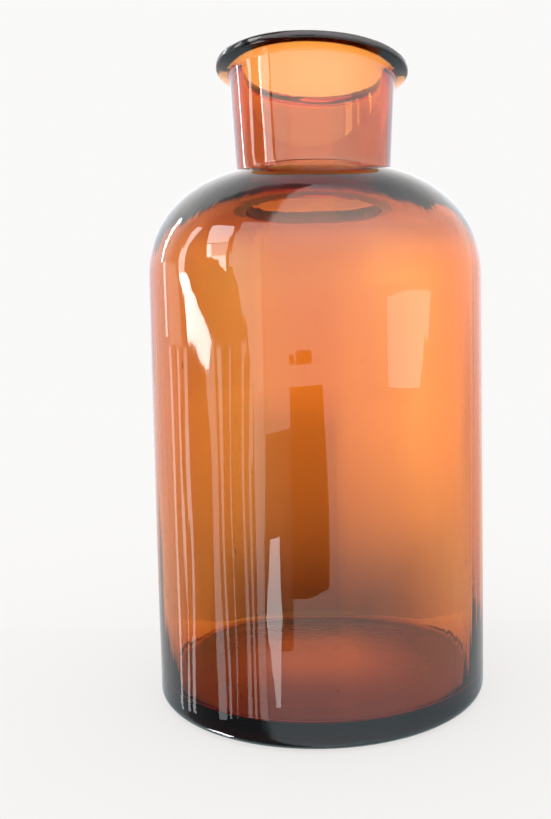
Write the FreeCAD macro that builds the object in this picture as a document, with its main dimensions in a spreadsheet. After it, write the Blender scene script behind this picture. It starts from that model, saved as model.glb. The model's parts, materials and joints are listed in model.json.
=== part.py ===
"""Wide-necked reagent bottle: one piece of amber glass.

The bottle stands on z = 0 with its axis on +Z. One PartDesign body holds it: the outer form is
revolved, the hollow and the push-up under the base are grooved out, and the edges are rounded
the way molten glass leaves them. Millimetres and degrees throughout.
"""
import FreeCAD, Part
import math
import os
import Sketcher
from FreeCAD import Vector

# alias: (value, what it measures)
DIMENSIONS = {
    "total_height": (256.5, "standing ring to top of lip"),
    "base_radius": (67.4, "side wall at the base, before the heel is rounded"),
    "wall_draft": (0.35, "degrees that the side wall leans outwards on its way up"),
    "shoulder_start": (170.0, "height where the wall turns into the shoulder"),
    "shoulder_round": (40.0, "radius of the outer shoulder arc"),
    "neck_root_radius": (31.8, "neck outside, where it leaves the shoulder"),
    "neck_top_radius": (34.1, "neck outside, under the lip"),
    "lip_radius": (39.6, "outer edge of the lip"),
    "lip_height": (2.8, "thickness of the lip at its outer edge"),
    "lip_flare": (1.9, "how far the lip's underside rises from the neck to its outer edge"),
    "wall_thickness": (2.8, "glass in the side wall"),
    "heel_sweep": (300.0, "radius of the inner arc where the wall thickens towards the base"),
    "heel_rise": (43.5, "height above which the wall is even"),
    "floor_crown": (9.5, "inner floor at the axis"),
    "floor_edge": (8.5, "inner floor at the wall"),
    "inner_shoulder_start": (171.0, "height where the inner wall turns into the shoulder"),
    "inner_shoulder_round": (30.0, "radius of the inner shoulder arc, which ends at the ceiling"),
    "bore_radius": (28.5, "straight bore of the neck"),
    "push_up_radius": (56.0, "hollow under the base"),
    "push_up_rise": (1.8, "depth of the hollow under the base"),
    "heel_fillet": (4.5, "outer edge of the base"),
    "neck_root_fillet": (2.0, "hollow corner between shoulder and neck"),
    "lip_under_fillet": (1.5, "hollow corner between neck and lip"),
    "lip_fillet": (1.2, "fire-polished edges of the lip"),
    "mouth_fillet": (5.0, "flare of the bore into the mouth"),
    "bore_foot_fillet": (1.2, "where the bore opens into the shoulder"),
    "floor_fillet": (2.5, "inner corner between floor and wall"),
    "cutter_overrun": (2.0, "how far the hollow's outline passes the top of the lip"),
}
SHEET = "Dimensions"
START, END, CENTRE = 1, 2, 3
ORIGIN = (-1, 1)
VERTICAL_AXIS = -2
SAME_PLACE = 0.05


def value(alias):
    return DIMENSIONS[alias][0]


def make_sheet(doc):
    sheet = doc.addObject("Spreadsheet::Sheet", SHEET)
    for row, (alias, (number, meaning)) in enumerate(DIMENSIONS.items(), start=1):
        sheet.set(f"A{row}", alias)
        sheet.set(f"B{row}", str(number))
        sheet.set(f"C{row}", meaning)
        sheet.setAlias(f"B{row}", alias)
    doc.recompute()
    return sheet


def origin_feature(body, role):
    return next(item for item in body.Origin.OriginFeatures if item.Role == role)


class Outline:
    """A half section of a turned form, in radius and height, drawn anticlockwise."""

    def __init__(self, body, name):
        self.sketch = body.newObject("Sketcher::SketchObject", name)
        self.sketch.AttachmentSupport = [(origin_feature(body, "XZ_Plane"), "")]
        self.sketch.MapMode = "FlatFace"

    def line(self, start, end):
        segment = Part.LineSegment(Vector(*start, 0), Vector(*end, 0))
        return self.sketch.addGeometry(segment, False)

    def arc(self, centre, radius, start_angle, end_angle):
        circle = Part.Circle(Vector(*centre, 0), Vector(0, 0, 1), radius)
        return self.sketch.addGeometry(Part.ArcOfCircle(circle, start_angle, end_angle), False)

    def rule(self, kind, *where):
        self.sketch.addConstraint(Sketcher.Constraint(kind, *where))

    def chain(self, pieces, smooth=(), closed=True):
        """Joins each piece's end to the next one's start; pairs in smooth are also tangent."""
        followers = pieces[1:] + pieces[:1] if closed else pieces[1:]
        for piece, following in zip(pieces, followers):
            kind = "Tangent" if (piece, following) in smooth else "Coincident"
            self.rule(kind, piece, END, following, START)

    def size(self, kind, where, name, formula, number):
        """A driving size: number is its value now, formula is where it is read from."""
        index = self.sketch.addConstraint(Sketcher.Constraint(kind, *where, number))
        self.sketch.renameConstraint(index, name)
        self.sketch.setExpression(f"Constraints.{name}", formula)

    def radius_of(self, point, alias):
        self.size("DistanceX", (*ORIGIN, *point), f"{alias}_at_{point[0]}",
                  f"{SHEET}.{alias}", value(alias))

    def height_of(self, point, alias):
        self.size("DistanceY", (*ORIGIN, *point), f"{alias}_at_{point[0]}",
                  f"{SHEET}.{alias}", value(alias))

    def wall_angle(self, wall):
        self.size("Angle", (wall,), "wall_angle", f"90 deg - {SHEET}.wall_draft * 1 deg",
                  math.radians(90 - value("wall_draft")))


def wall_radius(height, thickness=0.0):
    """Radius of the leaning side wall at a height, less a thickness of glass."""
    lean = math.tan(math.radians(value("wall_draft")))
    return value("base_radius") + height * lean - thickness


def outer_outline(body):
    outline = Outline(body, "OuterSection")
    bend = value("shoulder_start")
    lip_foot = value("total_height") - value("lip_height")
    arc_centre = (wall_radius(bend) - value("shoulder_round"), bend)
    root_reach = value("neck_root_radius") - arc_centre[0]
    root_angle = math.acos(root_reach / value("shoulder_round"))
    root_height = bend + value("shoulder_round") * math.sin(root_angle)

    base = outline.line((0, 0), (value("base_radius"), 0))
    wall = outline.line((value("base_radius"), 0), (wall_radius(bend), bend))
    shoulder = outline.arc(arc_centre, value("shoulder_round"), 0, root_angle)
    neck_top = (value("neck_top_radius"), lip_foot - value("lip_flare"))
    neck = outline.line((value("neck_root_radius"), root_height), neck_top)
    lip_under = outline.line(neck_top, (value("lip_radius"), lip_foot))
    lip_side = outline.line((value("lip_radius"), lip_foot), (value("lip_radius"), value("total_height")))
    lip_top = outline.line((value("lip_radius"), value("total_height")), (0, value("total_height")))
    axis = outline.line((0, value("total_height")), (0, 0))

    pieces = [base, wall, shoulder, neck, lip_under, lip_side, lip_top, axis]
    outline.chain(pieces, smooth=[(wall, shoulder)])
    outline.rule("Coincident", base, START, *ORIGIN)
    for level in (base, lip_top):
        outline.rule("Horizontal", level)
    for upright in (lip_side, axis):
        outline.rule("Vertical", upright)
    outline.radius_of((base, END), "base_radius")
    outline.wall_angle(wall)
    outline.size("Radius", (shoulder,), "shoulder_radius", f"{SHEET}.shoulder_round",
                 value("shoulder_round"))
    outline.height_of((shoulder, CENTRE), "shoulder_start")
    outline.radius_of((neck, START), "neck_root_radius")
    outline.radius_of((neck, END), "neck_top_radius")
    outline.radius_of((lip_side, START), "lip_radius")
    outline.height_of((lip_side, END), "total_height")
    outline.size("DistanceY", (lip_side, START, lip_side, END), "lip_thickness",
                 f"{SHEET}.lip_height", value("lip_height"))
    outline.size("DistanceY", (lip_under, START, lip_under, END), "lip_rise",
                 f"{SHEET}.lip_flare", value("lip_flare"))
    return outline.sketch


def dome(outline, radius, edge, crown):
    """Adds a shallow arc that rises from its edge, at a radius, to its crown on the axis."""
    rise = crown - edge
    sphere = (radius ** 2 + rise ** 2) / (2 * rise)
    centre = (0, crown - sphere)
    arc = outline.arc(centre, sphere, math.atan2(edge - centre[1], radius), math.pi / 2)
    outline.rule("PointOnObject", arc, CENTRE, VERTICAL_AXIS)
    return arc


def inner_foot():
    """Radius and height where the inner wall, thickened towards the base, meets the floor."""
    centre_radius = wall_radius(value("heel_rise"), value("wall_thickness")) - value("heel_sweep")
    drop = value("heel_rise") - value("floor_edge")
    return centre_radius + math.sqrt(value("heel_sweep") ** 2 - drop ** 2), value("floor_edge")


def bore_foot():
    """Radius and height where the bore opens through the level ceiling of the shoulder."""
    return value("bore_radius"), value("inner_shoulder_start") + value("inner_shoulder_round")


def cavity_outline(body):
    outline = Outline(body, "CavitySection")
    thickness = value("wall_thickness")
    even, bend = value("heel_rise"), value("inner_shoulder_start")
    sweep, round_in = value("heel_sweep"), value("inner_shoulder_round")
    top = value("total_height") + value("cutter_overrun")
    foot, opening = inner_foot(), bore_foot()
    heel_centre = (wall_radius(even, thickness) - sweep, even)
    shoulder_centre = (wall_radius(bend, thickness) - round_in, bend)

    heel = outline.arc(heel_centre, sweep, math.asin((foot[1] - even) / sweep), 0)
    wall = outline.line((wall_radius(even, thickness), even), (wall_radius(bend, thickness), bend))
    shoulder = outline.arc(shoulder_centre, round_in, 0, math.pi / 2)
    ceiling = outline.line((shoulder_centre[0], opening[1]), opening)
    bore = outline.line(opening, (opening[0], top))
    lid = outline.line((opening[0], top), (0, top))
    axis = outline.line((0, top), (0, value("floor_crown")))
    floor = dome(outline, foot[0], value("floor_edge"), value("floor_crown"))

    outline.chain([heel, wall, shoulder, ceiling, bore, lid, axis],
                  smooth=[(heel, wall), (wall, shoulder), (shoulder, ceiling)], closed=False)
    outline.rule("Coincident", axis, END, floor, END)
    outline.rule("Coincident", floor, START, heel, START)
    outline.rule("PointOnObject", axis, START, VERTICAL_AXIS)
    for level in (ceiling, lid):
        outline.rule("Horizontal", level)
    for upright in (bore, axis):
        outline.rule("Vertical", upright)
    outline.wall_angle(wall)
    outline.size("Radius", (heel,), "heel_radius", f"{SHEET}.heel_sweep", sweep)
    outline.height_of((heel, CENTRE), "heel_rise")
    outline.height_of((heel, START), "floor_edge")
    outline.height_of((floor, END), "floor_crown")
    outline.size("Radius", (shoulder,), "inner_shoulder_radius", f"{SHEET}.inner_shoulder_round", round_in)
    outline.height_of((shoulder, CENTRE), "inner_shoulder_start")
    outline.size("DistanceX", (*ORIGIN, wall, END), "inner_wall_radius",
                 f"{SHEET}.base_radius - {SHEET}.wall_thickness"
                 f" + {SHEET}.inner_shoulder_start * tan({SHEET}.wall_draft * 1 deg)",
                 wall_radius(bend, thickness))
    outline.radius_of((bore, START), "bore_radius")
    outline.size("DistanceY", (*ORIGIN, lid, START), "cutter_top",
                 f"{SHEET}.total_height + {SHEET}.cutter_overrun", top)
    return outline.sketch


def push_up_outline(body):
    outline = Outline(body, "PushUpSection")
    radius = value("push_up_radius")
    base = outline.line((0, 0), (radius, 0))
    hollow = dome(outline, radius, 0, value("push_up_rise"))
    axis = outline.line((0, value("push_up_rise")), (0, 0))
    outline.chain([base, hollow, axis])
    outline.rule("Coincident", base, START, *ORIGIN)
    outline.rule("Horizontal", base)
    outline.rule("Vertical", axis)
    outline.radius_of((base, END), "push_up_radius")
    outline.height_of((axis, START), "push_up_rise")
    return outline.sketch


def turn(body, kind, name, sketch):
    """A full turn of a section about the bottle's axis: PartDesign Revolution or Groove."""
    feature = body.newObject(f"PartDesign::{kind}", name)
    feature.Profile = sketch
    feature.ReferenceAxis = (sketch, ["V_Axis"])
    feature.Angle = 360
    body.Document.recompute()
    return feature


def circle_at(feature, radius, height):
    """The name of the feature's circular edge about the axis with this radius and height."""
    for number, edge in enumerate(feature.Shape.Edges, start=1):
        if edge.Degenerated or not isinstance(edge.Curve, Part.Circle):
            continue
        off = max(abs(edge.Curve.Radius - radius), abs(edge.Curve.Center.z - height))
        if off < SAME_PLACE:
            return f"Edge{number}"
    raise RuntimeError(f"{feature.Name} has no circle of radius {radius:.2f} at {height:.2f}")


def round_edges(body, name, circles, alias):
    """Rounds circular edges, each given as (radius, height), on the body's last feature."""
    base = body.Tip
    fillet = body.newObject("PartDesign::Fillet", name)
    fillet.Base = (base, [circle_at(base, *circle) for circle in circles])
    fillet.setExpression("Radius", f"{SHEET}.{alias}")
    body.Document.recompute()


def neck_root_height():
    """Height where the outer shoulder arc meets the neck."""
    reach = value("neck_root_radius") - (wall_radius(value("shoulder_start")) - value("shoulder_round"))
    return value("shoulder_start") + math.sqrt(value("shoulder_round") ** 2 - reach ** 2)


def make_bottle(doc):
    body = doc.addObject("PartDesign::Body", "Bottle")
    body.Label = "bottle"
    top = value("total_height")
    lip_foot = top - value("lip_height")

    turn(body, "Revolution", "OuterForm", outer_outline(body))
    round_edges(body, "Heel", [(value("base_radius"), 0)], "heel_fillet")
    round_edges(body, "NeckRoot", [(value("neck_root_radius"), neck_root_height())], "neck_root_fillet")
    round_edges(body, "LipUnderside", [(value("neck_top_radius"), lip_foot - value("lip_flare"))],
                "lip_under_fillet")
    round_edges(body, "LipEdge", [(value("lip_radius"), lip_foot), (value("lip_radius"), top)], "lip_fillet")

    solid_volume = body.Shape.Volume
    turn(body, "Groove", "Cavity", cavity_outline(body))
    if body.Shape.Volume > solid_volume / 2:
        raise RuntimeError("the hollow has not been cut")
    round_edges(body, "FloorCorner", [inner_foot()], "floor_fillet")
    round_edges(body, "BoreFoot", [bore_foot()], "bore_foot_fillet")
    round_edges(body, "Mouth", [(value("bore_radius"), top)], "mouth_fillet")

    hollow_volume = body.Shape.Volume
    turn(body, "Groove", "PushUp", push_up_outline(body))
    if body.Shape.Volume >= hollow_volume:
        raise RuntimeError("the push-up has not been cut")
    body.Placement = FreeCAD.Placement()
    return body


def check(doc, parts):
    for item in doc.Objects:
        if "Invalid" in item.State or "Error" in item.State:
            raise RuntimeError(f"{item.Name} did not recompute: {item.State}")
    for part in parts:
        if part.Shape.isNull() or not part.Shape.isValid() or len(part.Shape.Solids) != 1:
            raise RuntimeError(f"{part.Label} is not one valid solid")


def main():
    doc = FreeCAD.newDocument("ReagentBottle")
    make_sheet(doc)
    parts = [make_bottle(doc)]
    doc.recompute()
    check(doc, parts)
    os.makedirs("parts", exist_ok=True)
    for part in parts:
        part.Shape.exportStep(f"parts/{part.Label}.step")
        box = part.Shape.optimalBoundingBox(True, False)
        print(f"{part.Label}: {box.XLength:.2f} x {box.YLength:.2f} x {box.ZLength:.2f} mm,"
              f" {part.Shape.Volume / 1000:.1f} cm3 of glass")


main()
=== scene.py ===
"""Looks of the wide-necked amber reagent bottle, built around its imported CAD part.

Metres, bottle standing on z = 0 with its axis on +Z, camera on the -Y side.
"""
import json
import math
import random

import bpy
import numpy as np
from mathutils import Matrix, Vector

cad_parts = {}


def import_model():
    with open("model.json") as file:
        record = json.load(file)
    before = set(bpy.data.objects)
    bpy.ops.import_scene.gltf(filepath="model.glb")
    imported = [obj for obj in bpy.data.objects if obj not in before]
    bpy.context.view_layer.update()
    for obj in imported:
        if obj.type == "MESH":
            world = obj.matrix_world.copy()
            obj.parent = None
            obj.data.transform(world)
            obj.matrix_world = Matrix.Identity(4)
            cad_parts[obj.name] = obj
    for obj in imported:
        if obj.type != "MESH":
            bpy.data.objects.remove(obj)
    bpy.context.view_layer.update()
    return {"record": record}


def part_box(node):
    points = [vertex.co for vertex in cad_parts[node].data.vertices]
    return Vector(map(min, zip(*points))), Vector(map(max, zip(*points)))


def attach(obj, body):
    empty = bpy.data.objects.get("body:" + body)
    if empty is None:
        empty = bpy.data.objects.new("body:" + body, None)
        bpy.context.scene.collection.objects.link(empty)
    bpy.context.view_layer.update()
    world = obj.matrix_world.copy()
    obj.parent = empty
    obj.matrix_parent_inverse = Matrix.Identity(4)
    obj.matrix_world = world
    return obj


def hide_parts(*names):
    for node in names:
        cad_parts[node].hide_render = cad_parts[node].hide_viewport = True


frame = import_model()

MM = 0.001
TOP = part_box("bottle")[1].z
NECK_BORE = next(m for m in frame["record"]["mounts"] if m["name"] == "neck_bore")
BORE_RADIUS = NECK_BORE["dims"]["r_mm"] * MM

# ---------------------------------------------------------------- sizes of the glass

WALL = 2.8 * MM
WALL_LEAN = math.radians(0.35)        # the side wall leans outwards on its way up
BASE_RADIUS = 67.4 * MM               # outside of the wall, at ground level
PUSH_UP_RADIUS, PUSH_UP_RISE = 56.0 * MM, 1.8 * MM      # shallow hollow under the base
SHOULDER_TOP = 206.8 * MM             # where the lines of wall and shoulder would cross
NECK_ROOT = (31.8 * MM, 209.86 * MM)  # radius and height of the neck's outside at the shoulder
NECK_TOP_RADIUS = 34.1 * MM           # outside of the neck under the lip
LIP_RADIUS, LIP_HEIGHT = 39.6 * MM, 2.8 * MM
LIP_FLARE = 1.9 * MM                  # rise of the lip's under side from the neck to its edge
CEILING = 201.0 * MM                  # under side of the shoulder, where the bore opens
BORE_TAPER = 0.7 * MM                 # the bore is wider at the mouth and narrower at its foot
FLOOR_CROWN, FLOOR_EDGE = 9.5 * MM, 8.5 * MM            # height of the floor, middle and edge
HEEL_BEND = 28.0 * MM                 # height below which the inside slants in to the floor
HEEL_FOOT_RADIUS = 62.6 * MM          # inside, where that slant meets the floor

# roundings of the corners
HEEL_ROUND, SHOULDER_ROUND = 4.5 * MM, 40.0 * MM
NECK_ROOT_ROUND, LIP_UNDER_ROUND, LIP_ROUND = 2.0 * MM, 1.5 * MM, 1.2 * MM
MOUTH_ROUND, BORE_FOOT_ROUND = 5.0 * MM, 1.2 * MM
INNER_SHOULDER_ROUND, HEEL_BEND_ROUND, FLOOR_ROUND = 30.0 * MM, 300.0 * MM, 2.5 * MM

# how finely the form is divided
AROUND = 340                          # points round the axis
FINE, COARSE = 1.6 * MM, 4.0 * MM     # longest step along an arc and along a straight run
ARC_PIECES = 6                        # fewest steps of an arc
DOME_POINTS = 17                      # points of the shallow arcs under the base and of the floor
PUSH_UP_CLEAR, FLOOR_CLEAR = 3.0 * MM, 8.0 * MM         # how far in from the edge they start
STRAIGHT = 1e-3                       # a corner that turns by fewer radians isn't rounded


def wall_radius(height):
    return BASE_RADIUS + height * math.tan(WALL_LEAN)


def outline():
    """The half section as corners (radius, height, rounding): from the hollow under the base,
    up the outside, over the lip and down the inside to the middle of the floor."""
    lip_foot = TOP - LIP_HEIGHT
    return [
        (0, PUSH_UP_RISE, 0),
        *dome(PUSH_UP_RADIUS, 0, PUSH_UP_RISE, PUSH_UP_CLEAR)[::-1],
        (PUSH_UP_RADIUS, 0, 0),
        (BASE_RADIUS, 0, HEEL_ROUND),
        (wall_radius(SHOULDER_TOP), SHOULDER_TOP, SHOULDER_ROUND),
        (*NECK_ROOT, NECK_ROOT_ROUND),
        (NECK_TOP_RADIUS, lip_foot - LIP_FLARE, LIP_UNDER_ROUND),
        (LIP_RADIUS, lip_foot, LIP_ROUND),
        (LIP_RADIUS, TOP, LIP_ROUND),
        (BORE_RADIUS + BORE_TAPER, TOP, MOUTH_ROUND),
        (BORE_RADIUS - BORE_TAPER, CEILING, BORE_FOOT_ROUND),
        (wall_radius(CEILING) - WALL, CEILING, INNER_SHOULDER_ROUND),
        (wall_radius(HEEL_BEND) - WALL, HEEL_BEND, HEEL_BEND_ROUND),
        (HEEL_FOOT_RADIUS, FLOOR_EDGE, FLOOR_ROUND),
        *dome(HEEL_FOOT_RADIUS, FLOOR_EDGE, FLOOR_CROWN, FLOOR_CLEAR),
        (0, FLOOR_CROWN, 0),
    ]


def dome(radius, edge, crown, clear):
    """Points of a shallow arc inwards from a little clear of its edge, up to its crown."""
    sphere = (radius ** 2 + (crown - edge) ** 2) / (2 * (crown - edge))
    first = math.asin((radius - clear) / sphere)
    angles = np.linspace(first, 0, DOME_POINTS + 1)[:-1]
    return [(sphere * math.sin(a), crown - sphere * (1 - math.cos(a)), 0) for a in angles]


def rounded(corners):
    """The outline as points, with its corners turned into arcs and its long runs divided."""
    points = [np.array(corners[0][:2])]
    for before, (*corner, radius), after in zip(corners, corners[1:], corners[2:]):
        corner = np.array(corner)
        to_before = np.array(before[:2]) - corner
        to_after = np.array(after[:2]) - corner
        to_before /= np.linalg.norm(to_before)
        to_after /= np.linalg.norm(to_after)
        turn = math.pi - math.acos(np.clip(to_before @ to_after, -1, 1))
        if radius == 0 or turn < STRAIGHT:
            points.append(corner)
            continue
        tangent = radius * math.tan(turn / 2)
        middle = to_before + to_after
        centre = corner + middle / np.linalg.norm(middle) * math.hypot(radius, tangent)
        side = (corner + to_before * tangent - centre) / radius
        pieces = max(ARC_PIECES, math.ceil(radius * turn / FINE))
        for angle in np.linspace(0, turn, pieces + 1):
            points.append(centre + radius * (side * math.cos(angle) - to_before * math.sin(angle)))
    points.append(np.array(corners[-1][:2]))
    section = [points[0]]
    for point in points[1:]:
        start = section[-1]
        pieces = max(1, math.ceil(np.linalg.norm(point - start) / COARSE))
        section += [start + (point - start) * (i + 1) / pieces for i in range(pieces)]
    return np.array(section)


# ---------------------------------------------------------------- hand-made unevenness

LIP_LEAN = (-0.031, 0.026)            # slopes of the lip's plane: up towards -X and +Y
LEAN_FROM, LEAN_TO = 225.0 * MM, 248.0 * MM             # heights between which the lean sets in
BROAD_WAVES, MIDDLE_WAVES, DRAWN_LINES = 0.20 * MM, 0.050 * MM, 0.012 * MM
CALM = 2.5                            # narrow parts are truer, by this power of their radius
OUTSIDE_SEED, INSIDE_SEED = 11, 47
OUTSIDE_RISE = (0.5 * MM, 9 * MM)     # heights over which the waves grow from nothing
INSIDE_RISE = (13 * MM, 60 * MM)


class Waves:
    """A smooth, seeded unevenness over angle and height, mostly within 1 either way. The orders
    are waves per turn, and each may wind round by up to along radians per metre of height."""

    def __init__(self, seed, orders, along):
        chance = random.Random(seed)
        self.terms = [(order, chance.uniform(0, math.tau), chance.uniform(-along, along),
                       chance.uniform(0.4, 1.0)) for order in orders]
        self.scale = 1 / math.sqrt(sum(size ** 2 for *_, size in self.terms))

    def __call__(self, angle, height):
        total = sum(size * np.cos(order * angle + phase + height * drift)
                    for order, phase, drift, size in self.terms)
        return total * self.scale


def unevenness(seed):
    """Broad waves of a blown form, and the narrower upright lines from drawing it out."""
    broad = Waves(seed, [2, 3, 4, 5, 6, 7, 9], along=30)
    middle = Waves(seed + 1, range(8, 20, 2), along=70)
    lines = Waves(seed + 2, range(21, 46, 3), along=25)
    return lambda angle, height: (BROAD_WAVES * broad(angle, height)
                                  + MIDDLE_WAVES * middle(angle, height)
                                  + DRAWN_LINES * lines(angle, height))


def smooth(low, high, number):
    """0 below low, 1 above high, and an even S between them."""
    t = np.clip((number - low) / (high - low), 0, 1)
    return t * t * (3 - 2 * t)


def bottle_mesh(section):
    """Rings of the section, pushed off the true turned form by the glass's unevenness. The
    standing ring and the floor stay flat."""
    rings = section[1:-1]
    ahead = np.roll(section, -1, axis=0)[1:-1] - np.roll(section, 1, axis=0)[1:-1]
    outward = np.stack([ahead[:, 1], -ahead[:, 0]], axis=1)
    outward /= np.linalg.norm(outward, axis=1, keepdims=True)
    mouth = int(np.argmax(rings[:, 1] - rings[:, 0]))
    angles = np.arange(AROUND) * math.tau / AROUND
    verts = []
    outside, inside = unevenness(OUTSIDE_SEED), unevenness(INSIDE_SEED)
    for index, ((radius, height), (off_r, off_z)) in enumerate(zip(rings, outward)):
        calm = (radius / BASE_RADIUS) ** CALM
        if index <= mouth:
            push = outside(angles, height) * calm * smooth(*OUTSIDE_RISE, height)
        else:
            push = inside(angles, height) * calm * smooth(*INSIDE_RISE, height)
        out = radius + off_r * push
        x, y = out * np.cos(angles), out * np.sin(angles)
        lean = LIP_LEAN[0] * x + LIP_LEAN[1] * y
        z = height + off_z * push + smooth(LEAN_FROM, LEAN_TO, height) * lean
        verts.append(np.stack([x, y, z], axis=-1))
    verts = np.concatenate(verts)
    bottom, top = len(verts), len(verts) + 1
    verts = np.vstack([verts, [0, 0, section[0][1]], [0, 0, section[-1][1]]])
    faces = []
    last = (len(rings) - 1) * AROUND
    for i in range(AROUND):
        j = (i + 1) % AROUND
        for row in range(0, last, AROUND):
            faces.append((row + i, row + j, row + AROUND + j, row + AROUND + i))
        faces.append((bottom, j, i))
        faces.append((top, last + i, last + j))
    return verts, faces


# ---------------------------------------------------------------- bubbles

BUBBLE_SEED = 5
BUBBLE_AROUND, BUBBLE_ALONG = 10, 6   # points round a bubble, and steps from pole to pole
WALL_BUBBLES, BASE_BUBBLES = 16, 14
# smallest and largest of each measure, in mm
WALL_BUBBLE_HEIGHT = (45, 165)        # where it is in the wall
WALL_BUBBLE_HALF_WIDTH, WALL_BUBBLE_HALF_LENGTH = (0.18, 0.4), (0.5, 1.8)
BASE_BUBBLE_PLACE = (12, 46)          # how far it is from the axis
BASE_BUBBLE_HALF_SIZES = ((0.3, 1.1), (0.3, 0.7), (0.2, 0.5))


def bubble_mesh(centre, size, about):
    """A bubble in the glass: a small closed egg whose faces look inwards, towards its air."""
    across, along = BUBBLE_AROUND, BUBBLE_ALONG
    turn = Matrix.Rotation(about, 3, "Z")
    rings = [(math.sin(math.pi * k / along), math.cos(math.pi * k / along)) for k in range(1, along)]
    local = [(size[0] * wide * math.cos(math.tau * i / across),
              size[1] * wide * math.sin(math.tau * i / across),
              size[2] * high) for wide, high in rings for i in range(across)]
    local += [(0, 0, size[2]), (0, 0, -size[2])]
    verts = [tuple(turn @ Vector(p) + Vector(centre)) for p in local]
    faces = []
    top, bottom, last = len(verts) - 2, len(verts) - 1, (along - 2) * across
    for i in range(across):
        j = (i + 1) % across
        faces.append((top, j, i))
        faces.append((bottom, last + i, last + j))
        for row in range(0, last, across):
            faces.append((row + i, row + j, row + across + j, row + across + i))
    return verts, faces


def bubbles():
    """Bubbles drawn out upwards in the wall and flat in the base, at seeded places: their
    centres, half sizes and turns about Z."""
    chance = random.Random(BUBBLE_SEED)
    for _ in range(WALL_BUBBLES):
        angle, height = chance.uniform(0, math.tau), chance.uniform(*WALL_BUBBLE_HEIGHT) * MM
        middle = wall_radius(height) - WALL / 2
        size = [chance.uniform(*WALL_BUBBLE_HALF_WIDTH) * MM for _ in range(2)]
        size.append(chance.uniform(*WALL_BUBBLE_HALF_LENGTH) * MM)
        centre = (middle * math.cos(angle), middle * math.sin(angle), height)
        yield centre, size, angle
    for _ in range(BASE_BUBBLES):
        angle, radius = chance.uniform(0, math.tau), chance.uniform(*BASE_BUBBLE_PLACE) * MM
        share = (radius / PUSH_UP_RADIUS) ** 2
        under = PUSH_UP_RISE * (1 - share)
        floor_height = FLOOR_CROWN - (FLOOR_CROWN - FLOOR_EDGE) * share
        size = [chance.uniform(*limits) * MM for limits in BASE_BUBBLE_HALF_SIZES]
        turn = chance.uniform(0, math.tau)
        centre = (radius * math.cos(angle), radius * math.sin(angle), (under + floor_height) / 2)
        yield centre, size, turn


def make_bottle():
    verts, faces = bottle_mesh(rounded(outline()))
    verts = verts.tolist()
    for centre, size, angle in bubbles():
        egg, egg_faces = bubble_mesh(centre, size, angle)
        start = len(verts)
        verts += egg
        faces += [tuple(start + corner for corner in face) for face in egg_faces]
    mesh = bpy.data.meshes.new("bottle_glass")
    mesh.from_pydata(verts, [], faces)
    mesh.validate()
    mesh.shade_smooth()
    mesh.materials.append(amber_glass())
    piece = bpy.data.objects.new("bottle_glass", mesh)
    bpy.context.scene.collection.objects.link(piece)
    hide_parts("bottle")
    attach(piece, "root")


# ---------------------------------------------------------------- building materials

class Shading:
    """Short ways to make and link the nodes of one material or of the world."""

    def __init__(self, tree):
        self.nodes, self.links = tree.nodes, tree.links

    def feed(self, socket, value):
        """Link another node's output to the socket, or else set it to a plain value."""
        if isinstance(value, bpy.types.NodeSocket):
            self.links.new(value, socket)
        else:
            socket.default_value = value

    def node(self, kind, **inputs):
        """A node with the named inputs; base_color stands for Base Color."""
        node = self.nodes.new(f"ShaderNode{kind}")
        for name, value in inputs.items():
            title = "IOR" if name == "ior" else name.replace("_", " ").title()
            self.feed(node.inputs[title], value)
        return node

    def math(self, kind, *values):
        node = self.node("Math")
        node.operation = kind
        for socket, value in zip(node.inputs, values):
            self.feed(socket, value)
        return node.outputs["Value"]

    def split(self, vector):
        axes = self.node("SeparateXYZ", vector=vector)
        return [axes.outputs[axis] for axis in "XYZ"]

    def add(self, first, second):
        both = self.node("AddShader")
        self.feed(both.inputs[0], first)
        self.feed(both.inputs[1], second)
        return both.outputs["Shader"]

    def choose(self, switch, otherwise, chosen):
        mix = self.node("MixShader")
        for socket, value in zip(mix.inputs, (switch, otherwise, chosen)):
            self.feed(socket, value)
        return mix.outputs["Shader"]


def new_material(name, kind=Shading):
    material = bpy.data.materials.new(name)
    material.use_nodes = True
    material.node_tree.nodes.clear()
    shading = kind(material.node_tree)
    output = shading.node("OutputMaterial")
    return material, shading, output


# ---------------------------------------------------------------- the glass

GLASS_IOR = 1.52
# absorption of each colour of light, per metre of glass, is (1 - colour) * density
GLASS_COLOUR, GLASS_DENSITY = (0.903, 0.605, 0.07, 1), 600.0
DRAWN_GRAIN, DRAWN_DETAIL = (260, 260, 3), 1.5          # upright lines: finer across than along
DRAWN_DEPTH = 0.06 * MM
SMUDGE_GRAIN, SMUDGE_DETAIL = (38, 38, 26), 5.0
SMUDGE_NOISE = (0.52, 0.80)           # range of the noise over which smudges set in
SMUDGE_ROUGHNESS = 0.10
RING_ROUGHNESS = 0.35                 # the standing ring is worn dull
RING_WEAR = (0.4 * MM, 1.6 * MM)      # heights over which that wear fades out


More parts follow.
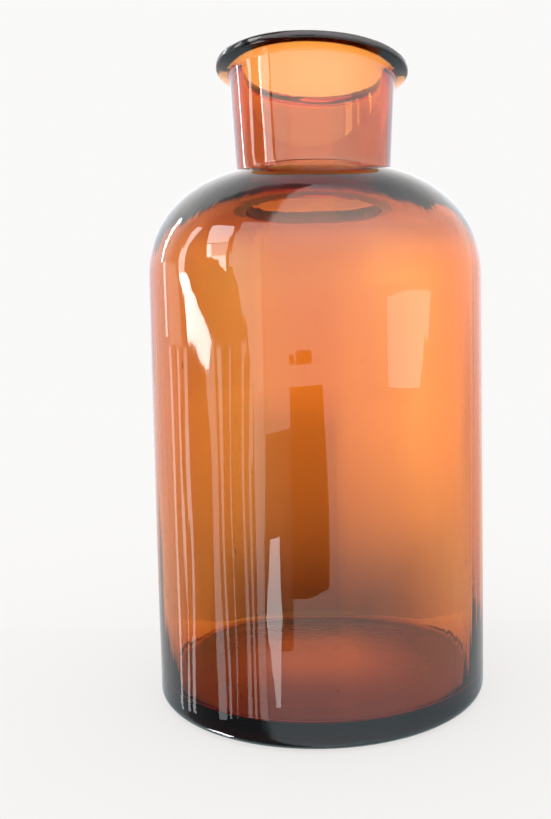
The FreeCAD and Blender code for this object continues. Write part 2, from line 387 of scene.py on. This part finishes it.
def amber_glass():
    material, shading, output = new_material("amber_glass")
    place = shading.node("TexCoord").outputs["Object"]

    def grain(scale, detail):
        stretched = shading.node("Mapping", vector=place, scale=scale)
        noise = shading.node("TexNoise", vector=stretched.outputs["Vector"], scale=1.0, detail=detail)
        return noise.outputs["Fac"]

    def mapped(value, limits, low, high):
        node = shading.node("MapRange", value=value, from_min=limits[0], from_max=limits[1],
                            to_min=low, to_max=high)
        return node.outputs["Result"]

    drawn = shading.node("Bump", strength=1.0, distance=DRAWN_DEPTH,
                         height=grain(DRAWN_GRAIN, DRAWN_DETAIL))
    smudges = mapped(grain(SMUDGE_GRAIN, SMUDGE_DETAIL), SMUDGE_NOISE, 0.0, SMUDGE_ROUGHNESS)
    height = shading.split(place)[2]
    worn = mapped(height, RING_WEAR, RING_ROUGHNESS, 0.0)
    glass = shading.node("BsdfPrincipled", base_color=(1, 1, 1, 1), ior=GLASS_IOR,
                         transmission_weight=1.0, normal=drawn.outputs["Normal"],
                         roughness=shading.math("MAXIMUM", smudges, worn))
    absorb = shading.node("VolumeAbsorption", color=GLASS_COLOUR, density=GLASS_DENSITY)
    shading.feed(output.inputs["Surface"], glass.outputs["BSDF"])
    shading.feed(output.inputs["Volume"], absorb.outputs["Volume"])
    return material


# ---------------------------------------------------------------- stage: paper

STUDIO_LIGHT = 1.5                    # brightness of the light all round
PAPER = 0.93                          # how much of it white paper gives back
SEEN_WHITE = 0.955                    # brightness of floor and surroundings as the camera records it
SEEN_TINT = (1.0, 0.995, 0.98, 1)
SHADOW_FILL = 0.70                    # share of the floor's recorded brightness that shadows don't touch
FLOOR_HALF = 4.0
# painted amber glow on the paper under the middle of the base, standing in for light that comes through
# the bottle
FOOT_GLOW, FOOT_GLOW_TINT = 1.05, (0.62, 1, 0.9)             # of the paper under the middle of the base
# painted shade on the floor behind the foot
BEHIND_SHADE = 0.65                   # of the floor, behind the foot

CARD_HALF, CARD_HEIGHT = 0.6, 0.34    # half its width, and its height
CARD_GAP = 3.5 * MM                   # between the bottle's foot and the card
# painted amber glow on the card, standing in for light that comes through the bottle
CARD_GLOW = (0.90, 0.70, 0.32)        # light that the card adds behind the body, where glass shades it
# painted shade on the card behind the foot
FOOT_LEFT = 0.45                      # what the shade behind the foot leaves of the card's light
# how much painted shade darkens the card behind the neck, in a stripe near the middle, and on the left
NECK_SHADE, STRIPE_SHADE, LEFT_SHADE = 0.2, 0.28, 0.2
# painted white glow on the card above the bottle
ABOVE_GLOW = 0.25                     # of the card above the bottle


class Patches(Shading):
    """Soft-edged patches over a stage card's place, for where painted light or painted shade goes into
    its paper.
    """

    def __init__(self, tree):
        super().__init__(tree)
        where = self.node("NewGeometry")
        self.backfacing = where.outputs["Backfacing"]
        self.x, self.y, self.z = self.split(where.outputs["Position"])
        self.aside = self.math("ABSOLUTE", self.x)

    def fade(self, source, none, full, low=0.0):
        """From low where the source is at none mm to 1 where it is at full mm."""
        node = self.node("MapRange", value=source, from_min=none * MM, from_max=full * MM, to_min=low)
        node.interpolation_type = "SMOOTHSTEP"
        return node.outputs["Result"]

    def patch(self, *fades):
        total = fades[0]
        for fade in fades[1:]:
            total = self.math("MULTIPLY", total, fade)
        return total

    def dimmed(self, share, patch):
        """1 away from the patch, and less by the share within it."""
        return self.math("MULTIPLY_ADD", patch, -share, 1.0)

    def paper(self, shade):
        white = self.node("Mix")
        white.data_type = "RGBA"
        white.inputs["A"].default_value = (0, 0, 0, 1)
        white.inputs["B"].default_value = (PAPER, PAPER, PAPER, 1)
        self.feed(white.inputs["Factor"], shade)
        return self.node("BsdfDiffuse", color=white.outputs["Result"]).outputs["BSDF"]

    def glow(self, colour, strength):
        return self.node("Emission", color=(*colour, 1), strength=strength).outputs["Emission"]


def floor_paper():
    """Matt white that the camera records with soft shadows and a little under full white. Seen through
    the glass it has a painted glow under the middle of the base and painted shade behind the foot."""
    material, place, output = new_material("floor_paper", Patches)
    # painted glow under the middle of the base, seen only through the glass
    lit = place.patch(place.fade(place.aside, 48, 10), place.fade(place.y, -35, 5),
                      place.fade(place.y, 58, 28))
    # painted shade behind the foot
    behind = place.patch(place.fade(place.y, 40, 60), place.fade(place.aside, 80, 20))
    through = place.add(place.paper(place.dimmed(BEHIND_SHADE, behind)),
                        place.glow(FOOT_GLOW_TINT, place.math("MULTIPLY", lit, FOOT_GLOW)))
    matt_white = SEEN_WHITE * (1 - SHADOW_FILL) / STUDIO_LIGHT
    soft = place.node("BsdfDiffuse", color=[matt_white * part for part in SEEN_TINT])
    fill = place.node("Emission", color=SEEN_TINT, strength=SEEN_WHITE * SHADOW_FILL)
    seen = place.add(soft.outputs["BSDF"], fill.outputs["Emission"])
    camera_ray = place.node("LightPath").outputs["Is Camera Ray"]
    place.feed(output.inputs["Surface"], place.choose(camera_ray, through, seen))
    return material


def card_paper():
    """White from the front, clear from behind. Behind the body it has a painted amber glow, standing in
    for paper lit through the bottle. It has painted shade behind the foot, the neck, the left side and a
    stripe near the middle, and a painted white glow above the bottle."""
    material, place, output = new_material("card_paper", Patches)
    # painted shade behind the foot, the neck, a stripe near the middle and the left side
    foot = place.math("MAXIMUM", place.fade(place.aside, 15, 80, low=FOOT_LEFT),
                      place.fade(place.z, 0, 60, low=FOOT_LEFT))
    neck = place.patch(place.fade(place.z, 205, 228), place.fade(place.z, 275, 262))
    stripe = place.patch(place.fade(place.x, -46, -24), place.fade(place.x, 16, 3),
                         place.fade(place.z, 128, 95))
    left = place.patch(place.fade(place.x, -10, -50), place.fade(place.x, -85, -70),
                       place.fade(place.z, 200, 180))
    shade = place.patch(foot, place.dimmed(NECK_SHADE, neck), place.dimmed(STRIPE_SHADE, stripe),
                        place.dimmed(LEFT_SHADE, left))
    # where the card's painted amber glow goes
    amber = place.patch(place.fade(place.aside, 120, 70), place.fade(place.x, -150, 75),
                        place.fade(place.z, 5, 120), place.fade(place.z, 225, 172),
                        place.dimmed(STRIPE_SHADE, stripe))
    # painted white glow above the bottle
    above = place.math("MULTIPLY", place.fade(place.z, 262, 282), ABOVE_GLOW)
    glows = place.add(place.glow(CARD_GLOW, amber), place.glow((1, 1, 1), above))
    lit = place.add(place.paper(shade), glows)
    clear = place.node("BsdfTransparent").outputs["BSDF"]
    place.feed(output.inputs["Surface"], place.choose(place.backfacing, lit, clear))
    return material


def stage_plane(name, corners, material):
    mesh = bpy.data.meshes.new(name)
    mesh.from_pydata(corners, [], [(0, 1, 2, 3)])
    mesh.materials.append(material)
    plane = bpy.data.objects.new(name, mesh)
    bpy.context.scene.collection.objects.link(plane)
    return plane


def floor():
    """Plain and pale. The glass doesn't mirror it, so the windows show down to the base."""
    half = FLOOR_HALF
    corners = [(-half, -half, 0), (half, -half, 0), (half, half, 0), (-half, half, 0)]
    ground = stage_plane("floor", corners, floor_paper())
    ground.visible_glossy = False


def back_card():
    """A white sheet close behind the bottle, seen only through the glass and only from the front."""
    half, height = CARD_HALF, CARD_HEIGHT
    behind = BASE_RADIUS + CARD_GAP
    corners = [(-half, behind, 0), (half, behind, 0), (half, behind, height), (-half, behind, height)]
    card = stage_plane("back_card", corners, card_paper())
    card.visible_camera = False
    card.visible_diffuse = False
    card.visible_glossy = False


# ---------------------------------------------------------------- stage: what the glass mirrors

LIGHT_CARD_DISTANCE = 1.5
LIGHT_CARD_MIDDLE = 130 * MM          # height of the bottle's middle, which card angles start from
DAYLIGHT = (0.95, 0.98, 1.0, 1)
WALL_GLOW = 2.9                       # brightness of the pale wall beside the camera
CURTAIN_LOW, CURTAIN_HIGH = -28, 2.2  # edges of the curtains, in degrees of rise
# left edge of each fold in degrees of turn, its width in degrees, and its brightness
CURTAINS = [(41.5, 2.0, 2.4), (47, 2.5, 2.4), (57.5, 1.2, 2.6), (63.5, 2.2, 2.8), (68.5, 7, 2.2),
            (94, 2.5, 3), (102, 2, 3), (109.5, 3, 3)]


def light_card(name, low, high, brightness, distance=LIGHT_CARD_DISTANCE):
    """An upright card, bright or dark, that only the glass mirrors. Its lower and upper edges are
    given in degrees as (from, to, rise): turned from -Y towards -X, and raised from the level of
    the bottle's middle."""

    def corner(turn, rise):
        turn, rise = math.radians(turn), math.radians(rise)
        return (-distance * math.sin(turn), -distance * math.cos(turn),
                LIGHT_CARD_MIDDLE + distance * math.tan(rise))

    material, shading, output = new_material(name)
    glow = shading.node("Emission", color=DAYLIGHT, strength=brightness)
    shading.feed(output.inputs["Surface"], glow.outputs["Emission"])
    corners = [corner(low[0], low[2]), corner(low[1], low[2]),
               corner(high[1], high[2]), corner(high[0], high[2])]
    card = stage_plane(name, corners, material)
    card.visible_camera = False
    card.visible_diffuse = False
    card.visible_transmission = False
    card.visible_shadow = False


def windows():
    """The room that the glass mirrors, each part at the angles that put its reflection where the
    photo has it."""
    # the window on the left and its frame
    light_card("window_left", (69, 92, 2.6), (91, 97, 8.6), 15)
    light_card("window_left_foot", (72.5, 75.5, 0.2), (69, 85, 2.6), 15)
    light_card("window_left_frame", (94, 98, 8.6), (89, 96, 34), 6)
    light_card("window_left_spot", (68.5, 73, -2.0), (69, 73.5, -0.6), 14)
    # the panes beside it
    light_card("panes_foot", (59.5, 60.5, 7.8), (60, 70, 12), 11)
    light_card("panes", (60, 70, 12), (60, 73, 22), 5)
    light_card("panes_edge", (70, 72.5, 12), (73, 76.5, 22), 15)
    light_card("panes_top", (60, 76.5, 22.5), (62, 82, 36), 8)
    # round the far left, and below
    light_card("window_far_left", (113, 115, 3), (113, 116, 12), 5)
    light_card("window_far_top", (118, 121, 12), (119, 123, 34), 13)
    light_card("left_wall", (97, 110, 2.4), (101, 112, 11), 1.6)
    light_card("window_under", (94, 114, -58), (90, 112, -47), 14)
    # the window on the right
    light_card("window_right", (-49, -71, -1.5), (-47, -75, 6), 4.2)
    # behind the camera: pale light, and dark cards that follow the dark shape which the photo mirrors in
    # the middle of the side, read as the phone and whoever holds it
    light_card("door_gap_low", (26, 29, -26.5), (22, 34, -20), 5.5)
    light_card("door_gap", (22, 34, -20), (24, 31, -13.8), 6)
    light_card("dark_doorway", (-4, 18, -18.5), (-4, 20, -2), 0.1)
    light_card("dark_floor", (17, 36, -22), (18, 34, -5.5), 0.3, distance=1.6)
    light_card("dark_shelf", (3, 15, 0), (4, 14, 1.3), 0.1)
    light_card("dark_knob", (16.5, 19.5, 0), (17, 19, 0.9), 0.1)
    # the pale wall beside the camera
    light_card("wall_foot", (35, 39, -28), (35, 41, -2), WALL_GLOW * 0.8)
    light_card("wall_low", (35, 41, -2), (35, 46, 3), WALL_GLOW)
    light_card("wall_middle", (35, 46, 3), (35, 57, 8.5), WALL_GLOW)
    light_card("wall_high", (35, 57, 8.5), (35, 58, 40), WALL_GLOW * 1.1)
    for number, (turn, width, glow) in enumerate(CURTAINS):
        light_card(f"curtain_{number}", (turn, turn + width, CURTAIN_LOW),
                   (turn, turn + width, CURTAIN_HIGH), glow)


# ---------------------------------------------------------------- stage: light all round

MIRRORED_LIGHT = 2.0
# brightness of what the glass mirrors, from straight behind the camera (0) round by the left to
# behind the bottle (180) and on to the right (-180): (turn in degrees, brightness)
ROOM = [(-180, 0.62), (-120, 0.62), (-80, 0.95), (-40, 1.3), (20, 1.3), (34, 1.2), (39, 0.2),
        (80, 0.15), (106, 0.25), (114, 0.65), (180, 0.62)]
# colour of what the glass mirrors, by rise: 0 is straight down, 0.5 is level and 1 is straight up
ROOM_TINT = [(0.0, (0.80, 1.0, 1.05)), (0.29, (0.85, 1.0, 1.08)), (0.41, (1.6, 1.35, 1.25)),
             (0.5, (1.65, 1.6, 1.68)), (0.55, (1.8, 1.8, 2.0)), (0.6, (2.1, 2.22, 2.45)),
             (0.8, (3.2, 3.15, 3.1)), (1.0, (1.6, 1.7, 1.75))]
# light seen through the glass, by rise as above
OVERHEAD = [(0.0, (1, 1, 1)), (0.72, (1, 1, 1)), (0.88, (0.3, 0.32, 0.34)), (1.0, (0.2, 0.22, 0.24))]
# and from front to back: 0 is straight along -Y and 1 straight along +Y
FRONT_TO_BACK = [(0.0, (0.25, 0.27, 0.29)), (0.35, (0.3, 0.32, 0.34)), (0.6, (1, 1, 1)),
                 (1.0, (1, 1, 1))]


def world():
    """Even white light from all round. What the glass mirrors is the room instead, and light
    that comes through it is dimmer from overhead and from the front."""
    sky = bpy.data.worlds.new("studio")
    sky.use_nodes = True
    shading = Shading(sky.node_tree)
    path = shading.node("LightPath")
    x, y, z = shading.split(shading.node("TexCoord").outputs["Generated"])

    def ramp(source, stops):
        node = shading.node("ValToRGB", fac=source)
        marks = node.color_ramp.elements
        for mark, (place, colour) in zip(marks, (stops[0], stops[-1])):
            mark.position, mark.color = place, (*colour, 1)
        for place, colour in stops[1:-1]:
            marks.new(place).color = (*colour, 1)
        return node.outputs["Color"]

    def product(first, second):
        mix = shading.node("Mix", factor=1.0)
        mix.data_type, mix.blend_type = "RGBA", "MULTIPLY"
        shading.feed(mix.inputs["A"], first)
        shading.feed(mix.inputs["B"], second)
        return mix.outputs["Result"]

    def background(colour, strength):
        return shading.node("Background", color=colour, strength=strength).outputs["Background"]

    def share(along):
        """0 to 1 for a direction's part of -1 to 1 along an axis."""
        return shading.math("MULTIPLY_ADD", along, 0.5, 0.5)

    turn = shading.math("ARCTAN2", shading.math("MULTIPLY", x, -1), shading.math("MULTIPLY", y, -1))
    around = shading.math("MULTIPLY_ADD", turn, 1 / math.tau, 0.5)
    room = [((turned + 180) / 360, (bright / MIRRORED_LIGHT,) * 3) for turned, bright in ROOM]
    mirrored = product(ramp(around, room), ramp(share(z), ROOM_TINT))
    past = product(ramp(share(z), OVERHEAD), ramp(share(y), FRONT_TO_BACK))

    rays = shading.choose(path.outputs["Is Transmission Ray"], background((1, 1, 1, 1), STUDIO_LIGHT),
                          background(past, STUDIO_LIGHT))
    rays = shading.choose(path.outputs["Is Glossy Ray"], rays, background(mirrored, MIRRORED_LIGHT))
    rays = shading.choose(path.outputs["Is Camera Ray"], rays, background(SEEN_TINT, SEEN_WHITE))
    shading.feed(shading.nodes["World Output"].inputs["Surface"], rays)
    bpy.context.scene.world = sky


# ---------------------------------------------------------------- camera

# fitted to the bottle's outline
LENS, SENSOR_HEIGHT, SHIFT_X = 34.41, 36.0, -0.0619
EYE = (0, -330.1 * MM, 129.6 * MM)
YAW, PITCH, ROLL = 0.0105, 0.044, -0.0172               # radians to the right, down, anticlockwise
NEAREST = 0.01


def camera():
    """Level with the bottle's middle, close to it, and looking slightly down."""
    data = bpy.data.cameras.new("camera")
    data.sensor_fit = "VERTICAL"
    data.sensor_height = SENSOR_HEIGHT
    data.lens = LENS
    data.shift_x = SHIFT_X
    data.clip_start = NEAREST
    eye = bpy.data.objects.new("camera", data)
    bpy.context.scene.collection.objects.link(eye)
    ahead = Vector((math.sin(YAW) * math.cos(PITCH), math.cos(YAW) * math.cos(PITCH),
                    -math.sin(PITCH)))
    right = Vector((math.cos(YAW), -math.sin(YAW), 0))
    up = right.cross(ahead)
    side = math.cos(ROLL) * right + math.sin(ROLL) * up
    head = -math.sin(ROLL) * right + math.cos(ROLL) * up
    turn = Matrix((side, head, -ahead)).transposed().to_4x4()
    eye.matrix_world = Matrix.Translation(EYE) @ turn
    bpy.context.scene.camera = eye


camera()
world()
floor()
back_card()
windows()
make_bottle()

scene = bpy.context.scene
scene.view_settings.view_transform = "Standard"
scene.cycles.max_bounces = 32
scene.cycles.transmission_bounces = 32
scene.cycles.glossy_bounces = 16
scene.cycles.diffuse_bounces = 4
